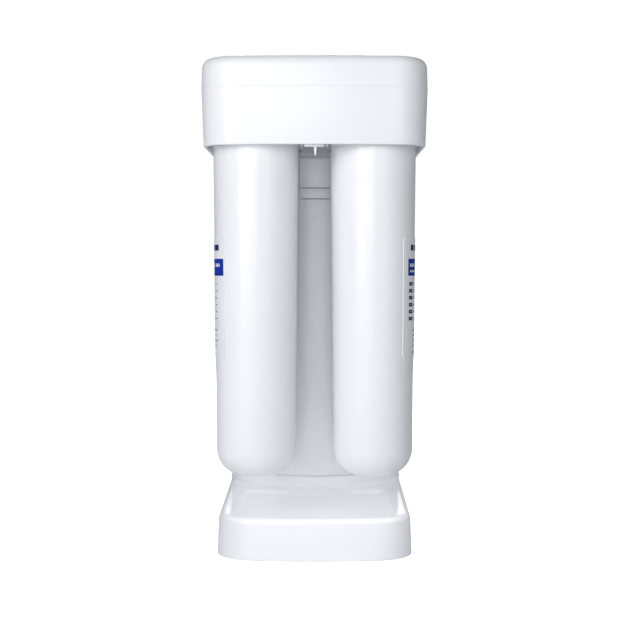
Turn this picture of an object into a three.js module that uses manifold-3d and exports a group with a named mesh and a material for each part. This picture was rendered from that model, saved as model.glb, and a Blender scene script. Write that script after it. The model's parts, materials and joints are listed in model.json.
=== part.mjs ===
// A compact under-sink reverse osmosis unit with its own storage tank.
//
// Four filter cartridges hang in two rows from a head that also carries the tube connectors. The
// storage tank stands behind them on a base whose front half is a shallow drip tray. A cartridge is
// taken out by turning it an eighth of a turn and pulling it down.
//
// Millimetres, +Z up. The origin is on the surface that the unit stands on, in the middle of its
// width (X) and depth (Y). The cartridges are towards -Y and the tube connectors face +Y.

import * as THREE from "three";
import { mergeVertices } from "three/addons/utils/BufferGeometryUtils.js";
import Module from "manifold-3d";

const wasm = await Module();
wasm.setup();

// ---- Driving dimensions ----

const WIDTH = 191.5;
const DEPTH = 371;
const HEIGHT = 422;
const GAP = 0.4; // between pieces that touch

// Plan outlines of the head and of the base. The ends are flat arcs joined to the sides by corners.
// The base widens a little towards its rear.
const HEAD_PLAN = {
  half: WIDTH / 2,
  front: -DEPTH / 2,
  rear: DEPTH / 2,
  frontArc: 620,
  frontCorner: 32,
  rearArc: 300,
  rearCorner: 76,
};
const BASE_PLAN = {
  half: 83.5,
  rearHalf: 84.9,
  front: -181.5,
  rear: 173.4,
  frontArc: 420,
  frontCorner: 38,
  rearArc: 100,
  rearCorner: 76,
};
const CORNER_STEPS = 5;
const ARC_STEPS = 4;

const BASE = { rim: 0.5, top: 35.5, wall: 2.6, draft: 1.3, edge: 4 };
const COLLAR = { radius: BASE_PLAN.rearHalf - BASE.draft, bore: 77.9, top: 45 };
const TRAY = {
  half: 67,
  front: -165,
  rear: -4,
  corner: 24,
  rearCorner: 12,
  endArc: 400,
  rearRadius: 111, // of the rear edge, round the tank
  depth: 3.6,
  slope: 5,
};
const PLATE = { bottom: 3.4, thickness: 2.4 };
const FOOT_RADIUS = 9;
const FEET = [
  [-62, -148],
  [62, -148],
  [-50, 112],
  [50, 112],
];

const TANK = { y: 88.5, radius: 83.2, spigot: 77.2, bottom: 36, shoulder: 47, wall: 3, step: 294.3, top: 311 };
const RING = { bottom: 311.4, top: 321.4, radius: 84.6, inner: 78.7 };
const TANK_SHOULDER = 347;
const TANK_NECK = { radius: 14, top: 380, bore: 8.6 };

const HEAD = { bottom: 349.5, seam: 395.8, wall: 2.5, draft: 1.8, plateBottom: 351.5, plateTop: 354 };
const LID = { corner: 9, draft: 0.7, wall: 2.5, lip: 5 };
const POCKET = { half: 44, floor: 163, bottom: 360, top: 388, wall: 2.5 };
const TAB = { half: 9, front: -182.8, rear: -179.4, drop: 2.4 };
const RIB = { half: 0.8, front: -180, rear: -92 };
const BOSS_RADIUS = 4.5;

// A cartridge: tapered housing, cap with a neck, and a tip that drives the valve rotor.
const CARTRIDGE = { x: 50.2, rowFront: -137.5, rowRear: -56, bottom: 67.4, top: 354, radiusTop: 36.5 };
const TAPER = 2.7;
const ROUND = 23;
const CARTRIDGE_WALL = 2.8;
const NECK = { radius: 22.6, top: 373, grooveBottom: 367, grooveTop: 370.6, grooveRadius: 20.8 };
const TIP = { radius: 13, top: 380, bore: 4 };
const LUG = { reach: 25.8, bottom: 359.6, top: 363.6, width: 12, count: 3 };
const LABEL = { bottom: 168.5, top: 271, halfSteps: 3, thickness: 0.5 };

const SOCKET = { outer: 28, bore: 24, mouthBore: 26.6, mouth: 359, mouthTop: 365, top: 390, boreTop: 387 };
const SPINE = { half: 11, bottom: 381, top: 390 };
const MANIFOLD_PLATE = { bottom: 372, top: 376 };
const SCREW = { head: 3.6, shank: 1.4, hole: 1.9, headHeight: 2.2 };
const MANIFOLD_SCREWS = [
  [-80, -96.75],
  [80, -96.75],
  [0, -160],
  [0, -28],
];
const BASE_SCREWS = [
  [-40, -150],
  [40, -150],
  [-28, 128],
  [28, 128],
];

const VALVE = { x: -46, y: 34, radius: 18, bottom: 390.4, top: 404, chamber: 13, floor: 394 };
const CHECK_VALVE = { x: 26, radius: 6, yFront: 14, yRear: 50, z: 397 };
const BARB = { radius: 2.4, length: 7 };
const RESTRICTOR = { x: 44, radius: 4.5, yFront: 18, yRear: 48, z: 396 };

const PORT = { pitch: 27, z: 374, radius: 7.2, inner: 147.4, end: 178, tubeBore: 3.4 };
const COLLET = { sleeve: 4.7, seat: 5.2, flange: 6.3, bore: 3.3, inner: 165, flangeFront: 179.6, end: 181.6 };

// Facets round a circle
const FINE = 30;
const MEDIUM = 20;
const HOUSING = 24;
const COARSE = 16;
const SMALL = 12;

// ---- Materials ----

const plastic = (color, roughness = 0.3) => new THREE.MeshStandardMaterial({ color, roughness, metalness: 0 });
const MATERIALS = {
  shell: plastic(0xf3f4f8, 0.28),
  tank: plastic(0xdfe1e6, 0.4),
  cartridge: plastic(0xf0f1f5, 0.25),
  label: plastic(0xe9ebf0, 0.45),
  innerPlastic: plastic(0xd8dadf, 0.5),
  rotor: plastic(0x3d5fa8, 0.45),
  rubber: plastic(0x202124, 0.85),
  bladder: plastic(0x3a4048, 0.8),
  sediment: plastic(0xe8e4d8, 0.9),
  carbon: plastic(0x1c1c1e, 0.95),
  membrane: plastic(0xc9d2dc, 0.6),
  tube: plastic(0xc4d6ea, 0.35),
  feedCollet: plastic(0xb8433a, 0.4),
  drainCollet: plastic(0x2a2b2e, 0.4),
  productCollet: plastic(0x2f5fb5, 0.4),
  steel: new THREE.MeshStandardMaterial({ color: 0xb9bcc0, roughness: 0.35, metalness: 1 }),
};

// ---- Solids: building, cutting and joining ----

// A closed three.js geometry as a manifold-3d solid.
function solid(geometry) {
  const bare = (geometry.index ? geometry.toNonIndexed() : geometry.clone());
  bare.deleteAttribute("normal");
  bare.deleteAttribute("uv");
  const merged = mergeVertices(bare, 1e-4);
  return new wasm.Manifold(
    new wasm.Mesh({
      numProp: 3,
      vertProperties: new Float32Array(merged.attributes.position.array),
      triVerts: new Uint32Array(merged.index.array),
    }),
  );
}

// A manifold-3d solid as a three.js geometry.
function geometryOf(made) {
  const mesh = made.getMesh();
  const geometry = new THREE.BufferGeometry();
  geometry.setAttribute("position", new THREE.BufferAttribute(new Float32Array(mesh.vertProperties), 3));
  geometry.setIndex(new THREE.BufferAttribute(new Uint32Array(mesh.triVerts), 1));
  geometry.computeVertexNormals();
  return geometry;
}

const join = (...solids) => solids.reduce((whole, next) => whole.add(next));
const cut = (whole, ...tools) => tools.reduce((left, tool) => left.subtract(tool), whole);

function box([x0, x1], [y0, y1], [z0, z1]) {
  const geometry = new THREE.BoxGeometry(x1 - x0, y1 - y0, z1 - z0);
  return solid(geometry.translate((x0 + x1) / 2, (y0 + y1) / 2, (z0 + z1) / 2));
}

// An upright cylinder.
function post(x, y, [z0, z1], radius, facets = SMALL) {
  const geometry = new THREE.CylinderGeometry(radius, radius, z1 - z0, facets).rotateX(Math.PI / 2);
  return solid(geometry.translate(x, y, (z0 + z1) / 2));
}

// A cylinder along Y.
function rod(x, [y0, y1], z, radius, facets = SMALL) {
  const geometry = new THREE.CylinderGeometry(radius, radius, y1 - y0, facets);
  return solid(geometry.translate(x, (y0 + y1) / 2, z));
}

// A solid of revolution about an upright axis. The profile is [radius, height] pairs. It starts and
// ends on the axis, or is a closed ring, and runs either way round.
function turned(profile, facets) {
  const onAxis = profile[0][0] === 0 && profile.at(-1)[0] === 0;
  const closed = onAxis ? profile : [...profile, profile[0]];
  const area = closed.slice(1).reduce((sum, [r, z], i) => sum + (closed[i][0] * z - r * closed[i][1]), 0);
  const ordered = area > 0 ? closed : [...closed].reverse();
  const points = ordered.map(([r, z]) => new THREE.Vector2(r, z));
  return new THREE.LatheGeometry(points, facets).rotateX(Math.PI / 2);
}

// Points [radius, height] of a quarter-circle or other arc in a profile.
function arcPoints(centreR, centreZ, radius, from, to, steps) {
  return Array.from({ length: steps + 1 }, (_, i) => {
    const angle = THREE.MathUtils.degToRad(from + ((to - from) * i) / steps);
    return [centreR + radius * Math.cos(angle), centreZ + radius * Math.sin(angle)];
  });
}

// A solid between rings of points, each ring anticlockwise from above, the lowest ring first.
function loft(rings) {
  const count = rings[0].length;
  const positions = rings.flat().flatMap((p) => [p.x, p.y, p.z]);
  const index = [];
  for (let r = 0; r + 1 < rings.length; r++) {
    for (let i = 0; i < count; i++) {
      const a = r * count + i;
      const b = r * count + ((i + 1) % count);
      index.push(a, b, b + count, a, b + count, a + count);
    }
  }
  const cap = (ring) => THREE.ShapeUtils.triangulateShape(ring.map((p) => new THREE.Vector2(p.x, p.y)), []);
  const last = (rings.length - 1) * count;
  cap(rings[0]).forEach(([a, b, c]) => index.push(a, c, b));
  cap(rings.at(-1)).forEach(([a, b, c]) => index.push(a + last, b + last, c + last));
  const geometry = new THREE.BufferGeometry();
  geometry.setAttribute("position", new THREE.Float32BufferAttribute(positions, 3));
  geometry.setIndex(index);
  return geometry;
}

// ---- Plan outlines ----

// The points of one end of a plan: corner, end arc, corner. The turn is 0 at the rear, PI in front.
function planEnd(half, edge, arc, corner, turn) {
  const outward = Math.cos(turn);
  const offset = half - corner;
  const reach = Math.sqrt((arc - corner) ** 2 - offset ** 2);
  const lean = Math.atan2(offset, reach);
  const arcY = edge - outward * arc;
  const cornerY = arcY + outward * reach;
  const sweep = (x, y, radius, from, to, steps, count) =>
    Array.from({ length: count }, (_, i) => {
      const angle = turn + from + ((to - from) * i) / steps;
      return [x + radius * Math.cos(angle), y + radius * Math.sin(angle)];
    });
  const middle = Math.PI / 2;
  return [
    ...sweep(outward * offset, cornerY, corner, 0, middle - lean, CORNER_STEPS, CORNER_STEPS),
    ...sweep(0, arcY, arc, middle - lean, middle + lean, ARC_STEPS, ARC_STEPS),
    ...sweep(-outward * offset, cornerY, corner, middle + lean, Math.PI, CORNER_STEPS, CORNER_STEPS + 1),
  ];
}

// A plan's outline at a height, moved in by an inset.
function outline(plan, z, inset = 0) {
  const rearHalf = plan.rearHalf ?? plan.half;
  const rear = planEnd(
    rearHalf - inset,
    plan.rear - inset,
    plan.rearArc - inset,
    plan.rearCorner - inset,
    0,
  );
  const front = planEnd(
    plan.half - inset,
    plan.front + inset,
    plan.frontArc - inset,
    plan.frontCorner - inset,
    Math.PI,
  );
  return [...rear, ...front].map(([x, y]) => new THREE.Vector3(x, y, z));
}

// A lofted solid through [height, inset] levels of one plan.
const stack = (plan, levels) => loft(levels.map(([z, inset]) => outline(plan, z, inset)));

// Levels [height, inset] that round an upper edge.
function roundedEdge(top, inset, radius, steps) {
  return Array.from({ length: steps + 1 }, (_, i) => {
    const angle = (Math.PI / 2) * (i / steps);
    return [top - radius + radius * Math.sin(angle), inset + radius * (1 - Math.cos(angle))];
  });
}

// ---- Base ----

// The tray's hollow: a plan with sloping sides, cut back to an arc round the tank.
function trayDish() {
  const { half, front, rear, corner, rearCorner, endArc, rearRadius, depth, slope } = TRAY;
  const plan = { half, front, rear, frontArc: endArc, frontCorner: corner, rearArc: endArc, rearCorner };
  const floor = BASE.top - depth;
  const dish = stack(plan, [
    [floor, slope],
    [BASE.top + 1, -slope / depth],
  ]);
  return cut(solid(dish), post(0, TANK.y, [floor - 1, BASE.top + 2], rearRadius, FINE));
}

function baseShell() {
  const outer = solid(
    stack(BASE_PLAN, [[BASE.rim, 0], ...roundedEdge(BASE.top, BASE.draft, BASE.edge, 3)]),
  );
  const collar = post(0, TANK.y, [BASE.top - BASE.edge, COLLAR.top], COLLAR.radius, FINE);
  const seat = post(0, TANK.y, [BASE.top, COLLAR.top + 1], COLLAR.bore, FINE);
  const ceiling = BASE.top - TRAY.depth - BASE.wall;
  const hollow = solid(
    stack(BASE_PLAN, [
      [BASE.rim - 1, BASE.wall],
      [ceiling, BASE.wall + BASE.draft],
    ]),
  );
  const bosses = BASE_SCREWS.map(([x, y]) => post(x, y, [PLATE.bottom + PLATE.thickness + GAP, ceiling + 1], BOSS_RADIUS));
  const pilots = BASE_SCREWS.map(([x, y]) => post(x, y, [0, ceiling - 4], SCREW.hole, 8));
  return cut(join(cut(join(outer, collar), seat, trayDish(), hollow), ...bosses), ...pilots);
}

function basePlate() {
  const inset = BASE.wall + GAP + 0.2;
  const plate = solid(
    stack(BASE_PLAN, [
      [PLATE.bottom, inset],
      [PLATE.bottom + PLATE.thickness, inset],
    ]),
  );
  return cut(plate, ...BASE_SCREWS.map(([x, y]) => post(x, y, [0, 10], SCREW.hole, 8)));
}

const foot = ([x, y]) => post(x, y, [0, PLATE.bottom - GAP], FOOT_RADIUS, COARSE);

// A pan-head screw, head down when flip is -1 and head up when it is 1. Its head rests at z.
function screw([x, y], z, length, flip) {
  const profile = [
    [0, -length],
    [SCREW.shank, -length],
    [SCREW.shank, GAP],
    [SCREW.head, GAP],
    [SCREW.head * 0.7, GAP + SCREW.headHeight],
    [0, GAP + SCREW.headHeight],
  ];
  return turned(profile.map(([r, h]) => [r, h * flip]), 8).translate(x, y, z);
}

// ---- Tank ----

// The lower shell: a spigot that drops into the collar, the wall, and a spigot inside the clamp ring.
function tankLowerShell() {
  const { radius, spigot, bottom, shoulder, wall, step, top } = TANK;
  const neck = RING.inner - GAP;
  return turned(
    [
      [0, bottom],
      [spigot, bottom],
      [spigot, shoulder],
      [radius - 2.5, shoulder],
      [radius, shoulder + 3],
      [radius, step],
      [radius + 0.6, step],
      [radius + 0.6, top],
      [neck, top],
      [neck, top + 4.4],
      [neck - wall, top + 4.4],
      [radius - wall, top - 14],
      [radius - wall, shoulder + 6],
      [spigot - wall, shoulder + 1],
      [spigot - wall, bottom + wall],
      [0, bottom + wall],
    ],
    FINE,
  );
}

function tankUpperShell() {
  const { radius, wall } = TANK;
  const seat = RING.inner - GAP;
  return turned(
    [
      [seat - wall, RING.top - 4],
      [seat, RING.top - 4],
      [seat, RING.top + GAP],
      [radius, RING.top + GAP],
      [radius, TANK_SHOULDER - 2],
      [radius - 7, TANK_SHOULDER + 7],
      [radius - 28, TANK_SHOULDER + 15],
      [TANK_NECK.radius, TANK_SHOULDER + 21],
      [TANK_NECK.radius, TANK_NECK.top],
      [TANK_NECK.bore, TANK_NECK.top],
      [TANK_NECK.bore, TANK_SHOULDER + 17],
      [radius - 28, TANK_SHOULDER + 11],
      [radius - wall, TANK_SHOULDER - 4],
      [radius - wall, RING.top + 6],
    ],
    FINE,
  );
}

const tankClampRing = () =>
  turned(
    [
      [RING.inner, RING.bottom],
      [RING.radius - 0.8, RING.bottom],
      [RING.radius, RING.bottom + 0.8],
      [RING.radius, RING.top - 0.8],
      [RING.radius - 0.8, RING.top],
      [RING.inner, RING.top],
    ],
    FINE,
  );

function tankGasket() {
  const outer = RING.inner - GAP - 0.2;
  const low = TANK.top + 4.4 + GAP;
  const high = RING.top - 4 - GAP;
  return turned(
    [
      [outer - 2.4, low],
      [outer, low],
      [outer, high],
      [outer - 2.4, high],
    ],
    MEDIUM,
  );
}

function tankBladder() {
  const radius = 69;
  const wall = 1.6;
  const low = TANK.bottom + 12;
  const shoulder = TANK.top - 6;
  return turned(
    [
      [0, low],
      ...arcPoints(radius - 20, low + 20, 20, -90, 0, 2),
      ...arcPoints(radius - 24, shoulder - 24, 24, 0, 90, 2),
      [13, shoulder + 4],
      [13, shoulder + 40],
      [13 - wall, shoulder + 40],
      [13 - wall, shoulder + 2],
      ...arcPoints(radius - 24, shoulder - 24, 24 - wall, 90, 0, 2),
      ...arcPoints(radius - 20, low + 20, 20 - wall, 0, -90, 2),
      [0, low + wall],
    ],
    COARSE,
  );
}

// The hollow stub that carries water between the tank and the manifold, with a side barb for its tube.
function tankNipple() {
  const stem = TANK_NECK.bore - 0.6;
  const flangeZ = SPINE.top + 4 + GAP;
  const body = solid(
    turned(
      [
        [4, TANK_SHOULDER + 8],
        [stem, TANK_SHOULDER + 8],
        [stem, flangeZ],
        [13, flangeZ],
        [13, flangeZ + 3],
        [stem, flangeZ + 3],
        [stem, flangeZ + 12],
        [4, flangeZ + 12],
      ],
      COARSE,
    ).translate(0, TANK.y, 0),
  );
  const barb = solid(
    new THREE.CylinderGeometry(BARB.radius, BARB.radius, 12, SMALL)
      .rotateZ(Math.PI / 2)
      .translate(stem + 4, TANK.y, flangeZ + 7.6),
  );
  return join(body, barb);
}

// ---- Head ----

function headLid() {
  const low = HEAD.seam + GAP;
  const outer = solid(stack(HEAD_PLAN, [[low, 0], ...roundedEdge(HEIGHT, LID.draft, LID.corner, 5)]));
  const hollow = solid(
    stack(HEAD_PLAN, [
      [low + 3, LID.wall],
      ...roundedEdge(HEIGHT - LID.wall, LID.draft + LID.wall, LID.corner - LID.wall, 2),
    ]),
  );
  const lip = solid(
    stack(HEAD_PLAN, [
      [HEAD.seam - LID.lip, HEAD.wall + 0.6],
      [low + 1, HEAD.wall + 0.6],
    ]),
  );
  const mouth = solid(
    stack(HEAD_PLAN, [
      [HEAD.seam - LID.lip - 1, HEAD.wall + 2.4],
      [low + 3.5, HEAD.wall + 2.4],
    ]),
  );
  return cut(join(outer, lip), hollow, mouth);
}

// The recess in the rear wall that the tube connectors stand in.
function rearPocket(outer) {
  const { half, floor, bottom, top, wall } = POCKET;
  const walls = box([-half - wall, half + wall], [floor - wall, DEPTH / 2 + 1], [bottom - wall, top + wall]);
  return outer.intersect(walls);
}

function headHousing() {
  const outer = solid(
    stack(HEAD_PLAN, [
      [HEAD.bottom, HEAD.draft + 0.8],
      [HEAD.bottom + 0.8, HEAD.draft],
      [HEAD.seam, 0],
    ]),
  );
  const upper = solid(
    stack(HEAD_PLAN, [
      [HEAD.plateTop, HEAD.draft + HEAD.wall],
      [HEAD.seam + 1, HEAD.wall],
    ]),
  );
  const under = solid(
    stack(HEAD_PLAN, [
      [HEAD.bottom - 1, HEAD.draft + HEAD.wall],
      [HEAD.plateBottom, HEAD.draft + HEAD.wall],
    ]),
  );
  const tankHole = post(0, TANK.y, [HEAD.bottom - 2, HEAD.plateTop + 1], TANK.radius + 1.6, FINE);
  const cartridgeHoles = sockets().map(({ x, y }) =>
    post(x, y, [HEAD.bottom - 2, HEAD.plateTop + 1], CARTRIDGE.radiusTop + 1.2, MEDIUM),
  );
  const tab = box([-TAB.half, TAB.half], [TAB.front, TAB.rear], [HEAD.bottom - TAB.drop, HEAD.plateTop]);
  const rib = box([-RIB.half, RIB.half], [RIB.front, RIB.rear], [HEAD.bottom - TAB.drop, HEAD.plateTop]);
  const bosses = MANIFOLD_SCREWS.map(([x, y]) =>
    post(x, y, [HEAD.plateBottom + 0.5, MANIFOLD_PLATE.bottom - GAP], BOSS_RADIUS),
  );
  const pilots = MANIFOLD_SCREWS.map(([x, y]) =>
    post(x, y, [HEAD.plateTop + 4, MANIFOLD_PLATE.bottom], SCREW.hole, 8),
  );
  const { half, floor, bottom, top } = POCKET;
  const recess = box([-half, half], [floor, DEPTH / 2 + 2], [bottom, top]);
  const portHoles = ports().map(({ x }) => rod(x, [floor - 5, floor + 1], PORT.z, PORT.radius + 0.6, COARSE));
  const shell = cut(outer, upper, under);
  return cut(
    join(shell, rearPocket(outer), tab, rib, ...bosses),
    tankHole,
    ...cartridgeHoles,
    ...pilots,
    recess,
    ...portHoles,
  );
}

function manifold() {
  const shells = sockets().map(({ x, y }) => post(x, y, [SOCKET.mouth, SOCKET.top], SOCKET.outer, COARSE));
  const bores = sockets().flatMap(({ x, y }) => [
    post(x, y, [SOCKET.mouth - 1, SOCKET.boreTop], SOCKET.bore, MEDIUM),
    post(x, y, [SOCKET.mouth - 1, SOCKET.mouthTop], SOCKET.mouthBore, MEDIUM),
  ]);
  const plate = box([-68, 68], [-166, -22], [MANIFOLD_PLATE.bottom, MANIFOLD_PLATE.top]);
  const ears = [-1, 1].map((side) =>
    box([Math.min(side * 60, side * 86), Math.max(side * 60, side * 86)], [-102.5, -91],
      [MANIFOLD_PLATE.bottom, MANIFOLD_PLATE.top]),
  );
  const spine = box([-SPINE.half, SPINE.half], [CARTRIDGE.rowFront, PORT.inner - 1], [SPINE.bottom, SPINE.top]);
  const crossbars = [CARTRIDGE.rowFront, CARTRIDGE.rowRear].map((y) =>
    box([-CARTRIDGE.x, CARTRIDGE.x], [y - 7, y + 7], [SPINE.bottom, SPINE.top]),
  );
  const valveArm = box([VALVE.x - 12, RESTRICTOR.x + 8], [-6, VALVE.y + 10], [SPINE.bottom, SPINE.top]);
  const outlets = [CHECK_VALVE, RESTRICTOR].map(({ x, yFront, z }) =>
    box([x - 4.5, x + 4.5], [yFront - 16, yFront - BARB.length - GAP], [SPINE.bottom, z + 4.5]),
  );
  const tankBoss = post(0, TANK.y, [SPINE.bottom, SPINE.top + 4], 16, COARSE);
  const portBlock = box([-PORT.pitch - 11, PORT.pitch + 11], [PORT.inner - 13, PORT.inner - GAP],
    [PORT.z - 9, SPINE.top]);
  const holes = MANIFOLD_SCREWS.map(([x, y]) => post(x, y, [SOCKET.mouth, MANIFOLD_PLATE.top + 1], SCREW.hole, 8));
  const tankBore = post(0, TANK.y, [SPINE.bottom - 1, SPINE.top + 5], TANK_NECK.bore, COARSE);
  const body = join(plate, ...shells, ...ears, spine, ...crossbars, valveArm, ...outlets, tankBoss, portBlock);
  return cut(body, ...bores, ...holes, tankBore);
}

function shutoffValveBody() {
  const { radius, bottom, top, chamber, floor } = VALVE;
  return turned(
    [
      [0, bottom],
      [radius, bottom],
      [radius, top],
      [chamber, top],
      [chamber, floor],
      [0, floor],
    ],
    COARSE,
  ).translate(VALVE.x, VALVE.y, 0);
}

function shutoffPiston() {
  const { chamber, floor } = VALVE;
  return turned(
    [
      [0, floor + GAP],
      [4, floor + GAP],
      [4, floor + 2],
      [chamber - 0.6, floor + 2],
      [chamber - 0.6, floor + 6],
      [0, floor + 6],
    ],
    COARSE,
  ).translate(VALVE.x, VALVE.y, 0);
}

function shutoffValveCap() {
  const { radius, top } = VALVE;
  return turned(
    [
      [0, top + GAP],
      [radius, top + GAP],
      [radius, top + 3],
      [radius - 2, top + 4],
      [7, top + 4],
      [6, top + 8],
      [0, top + 8],
    ],
    COARSE,
  ).translate(VALVE.x, VALVE.y, 0);
}

// An in-line fitting along Y: a barrel with a barb at each end, resting in the manifold's arm.
function inlineFitting({ x, radius, yFront, yRear, z }) {
  const barrel = rod(x, [yFront, yRear], z, radius, SMALL);
  const barbs = rod(x, [yFront - BARB.length, yRear + BARB.length], z, BARB.radius, SMALL);
  return join(barrel, barbs);
}

// A bent tube along a smooth path of points.
function tube(points, radius, steps) {
  const path = new THREE.CatmullRomCurve3(points.map((p) => new THREE.Vector3(...p)));
  const section = new THREE.Shape().absarc(0, 0, radius, 0, Math.PI * 2);
  return new THREE.ExtrudeGeometry(section, { steps, extrudePath: path, curveSegments: 4 });
}

function tankTube() {
  const z = SPINE.top + 4 + GAP + 7.6;
  const startX = TANK_NECK.bore - 0.6 + 10 + GAP;
  const { x, yRear } = CHECK_VALVE;
  return tube(
    [
      [startX, TANK.y, z],
      [startX + 5, TANK.y, z],
      [x + 2, TANK.y - 8, z - 1],
      [x, yRear + 14, CHECK_VALVE.z + 1],
      [x, yRear + BARB.length + GAP, CHECK_VALVE.z],
    ],
    3.2,
    10,
  );
}

function drainTube() {
  const { x, yRear, z } = RESTRICTOR;
  return tube(
    [
      [x, yRear + BARB.length + GAP, z],
      [x + 1, yRear + 16, z],
      [x + 2, 90, z + 1],
      [x - 6, 118, z + 1],
      [PORT.pitch + 2, 138, z + 2],
      [PORT.pitch, 144, z - 1],
      [PORT.pitch, 144.5, SPINE.top + 1.4],
    ],
    3.2,
    14,
  );
}

// ---- Tube connectors ----

function connector() {
  const { radius, inner, end, tubeBore } = PORT;
  const length = end - inner;
  const seat = COLLET.inner - 2 - inner;
  return turned(
    [
      [tubeBore, 4],
      [tubeBore, seat],
      [COLLET.seat, seat],
      [COLLET.seat, length],
      [radius - 0.6, length],
      [radius, length - 0.6],
      [radius, 0],
      [0, 0],
      [0, 4],
    ],
    COARSE,
  );
}

function collet() {
  const { sleeve, flange, bore, inner, flangeFront, end } = COLLET;
  return turned(
    [
      [bore, 0],
      [sleeve, 0],
      [sleeve, flangeFront - inner],
      [flange, flangeFront - inner],
      [flange, end - inner],
      [bore, end - inner],
    ],
    SMALL,
  );
}

// Lays an upright solid down so that its height runs along +Y.
const layAlongY = (geometry, x, y, z) => geometry.rotateX(-Math.PI / 2).translate(x, y, z);

const ports = () => [
  { name: "feed", x: -PORT.pitch, finish: MATERIALS.feedCollet },
  { name: "product", x: 0, finish: MATERIALS.productCollet },
  { name: "drain", x: PORT.pitch, finish: MATERIALS.drainCollet },
];

// ---- Cartridges ----

// The four stages in the order that water passes them, with the radius of each core.
function sockets() {
  const { x, rowFront, rowRear } = CARTRIDGE;
  return [
    { name: "sediment_filter", x: -x, y: rowFront, side: -1, core: 26, finish: MATERIALS.sediment },
    { name: "carbon_filter", x: -x, y: rowRear, side: -1, core: 27, finish: MATERIALS.carbon },
    { name: "membrane_filter", x, y: rowRear, side: 1, core: 24, finish: MATERIALS.membrane },
    { name: "mineral_filter", x, y: rowFront, side: 1, core: 27, finish: MATERIALS.carbon },
  ];
}

// The outer radius of a cartridge's housing at a height above its round bottom.
function housingRadius(z) {
  const { radiusTop, bottom, top } = CARTRIDGE;
  return radiusTop - (TAPER * (top - z)) / (top - bottom - ROUND);
}

function cartridgeBody() {
  const { bottom, top, radiusTop } = CARTRIDGE;
  const low = radiusTop - TAPER;
  const wall = CARTRIDGE_WALL;
  return turned(
    [
      [0, bottom - 0.6],
      ...arcPoints(low - ROUND, bottom + ROUND, ROUND, -90, 0, 4),
      [radiusTop, top],
      [radiusTop - wall, top],
      ...arcPoints(low - ROUND, bottom + ROUND, ROUND - wall, 0, -90, 2),
      [0, bottom + wall],
    ],
    HOUSING,
  );
}

function cartridgeCap() {
  const { top, radiusTop } = CARTRIDGE;
  const flange = top + GAP;
  const spigot = radiusTop - CARTRIDGE_WALL - 0.6;
  const body = solid(
    turned(
      [
        [TIP.bore, top - 8],
        [spigot, top - 8],
        [spigot, flange],
        [radiusTop - 0.2, flange],
        [radiusTop - 0.2, flange + 3],
        [NECK.radius, flange + 3],
        [NECK.radius, NECK.grooveBottom],
        [NECK.grooveRadius, NECK.grooveBottom],
        [NECK.grooveRadius, NECK.grooveTop],
        [NECK.radius, NECK.grooveTop],
        [NECK.radius, NECK.top],
        [TIP.radius, NECK.top],
        [TIP.radius, TIP.top],
        [TIP.bore, TIP.top],
      ],
      COARSE,
    ),
  );
  const lugs = Array.from({ length: LUG.count }, (_, i) => {
    const lug = new THREE.BoxGeometry(LUG.reach - 18, LUG.width, LUG.top - LUG.bottom)
      .translate((LUG.reach + 18) / 2, 0, (LUG.top + LUG.bottom) / 2)
      .rotateZ((i * 2 * Math.PI) / LUG.count);
    return solid(lug).intersect(post(0, 0, [LUG.bottom - 1, LUG.top + 1], LUG.reach, MEDIUM));
  });
  const keys = [-1, 1].map((side) =>
    box([side === 1 ? 6 : -11, side === 1 ? 11 : -6], [-2.5, 2.5], [TIP.top - 1, TIP.top + 4]),
  );
  return join(body, ...lugs, ...keys);
}

const seal = () => {
  const section = arcPoints(NECK.radius - 0.2, (NECK.grooveBottom + NECK.grooveTop) / 2, 1.25, 0, 300, 5);
  return turned(section, COARSE);
};

function core(radius) {
  const low = CARTRIDGE.bottom + ROUND + 1;
  const high = CARTRIDGE.top - 14;
  return turned(
    [
      [6, low],
      [radius, low],
      [radius, high],
      [6, high],
    ],
    COARSE,
  );
}

// A label wraps a quarter of the way round the outward side of its cartridge.
function label(side) {
  const step = (2 * Math.PI) / HOUSING;
  const middle = side > 0 ? 0 : Math.PI;
  const angles = Array.from({ length: 2 * LABEL.halfSteps + 1 }, (_, i) => middle + (i - LABEL.halfSteps) * step);
  const ring = (z) => {
    const inner = housingRadius(z) + GAP;
    const arc = (radius, list) =>
      list.map((a) => new THREE.Vector3(radius * Math.cos(a), radius * Math.sin(a), z));
    return [...arc(inner + LABEL.thickness, angles), ...arc(inner, [...angles].reverse())];
  };
  return loft([ring(LABEL.bottom), ring(LABEL.top)]);
}

function rotor() {
  const bottom = NECK.top + 1.5;
  const top = SOCKET.boreTop - 0.5;
  const ring = solid(
    turned(
      [
        [0, TIP.top + 1],
        [TIP.radius + 1, TIP.top + 1],
        [TIP.radius + 1, bottom],
        [SOCKET.bore - 0.7, bottom],
        [SOCKET.bore - 0.7, top],
        [0, top],
      ],
      COARSE,
    ),
  );
  const slots = [-1, 1].map((side) =>
    box([side === 1 ? 5.4 : -11.6, side === 1 ? 11.6 : -5.4], [-3.1, 3.1], [TIP.top, TIP.top + 4.8]),
  );
  return cut(ring, ...slots);
}

// ---- Assembly ----

const unit = new THREE.Group();

function add(name, shape, material, x = 0, y = 0) {
  const mesh = new THREE.Mesh(shape instanceof THREE.BufferGeometry ? shape : geometryOf(shape), material);
  mesh.name = name;
  mesh.position.set(x, y, 0);
  unit.add(mesh);
}

add("base_shell", baseShell(), MATERIALS.shell);
add("base_plate", basePlate(), MATERIALS.innerPlastic);
FEET.forEach((place, i) => add(`foot_${i + 1}`, foot(place), MATERIALS.rubber));
BASE_SCREWS.forEach((place, i) => {
  add(`base_screw_${i + 1}`, screw(place, PLATE.bottom, 14, -1), MATERIALS.steel);
});

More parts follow.
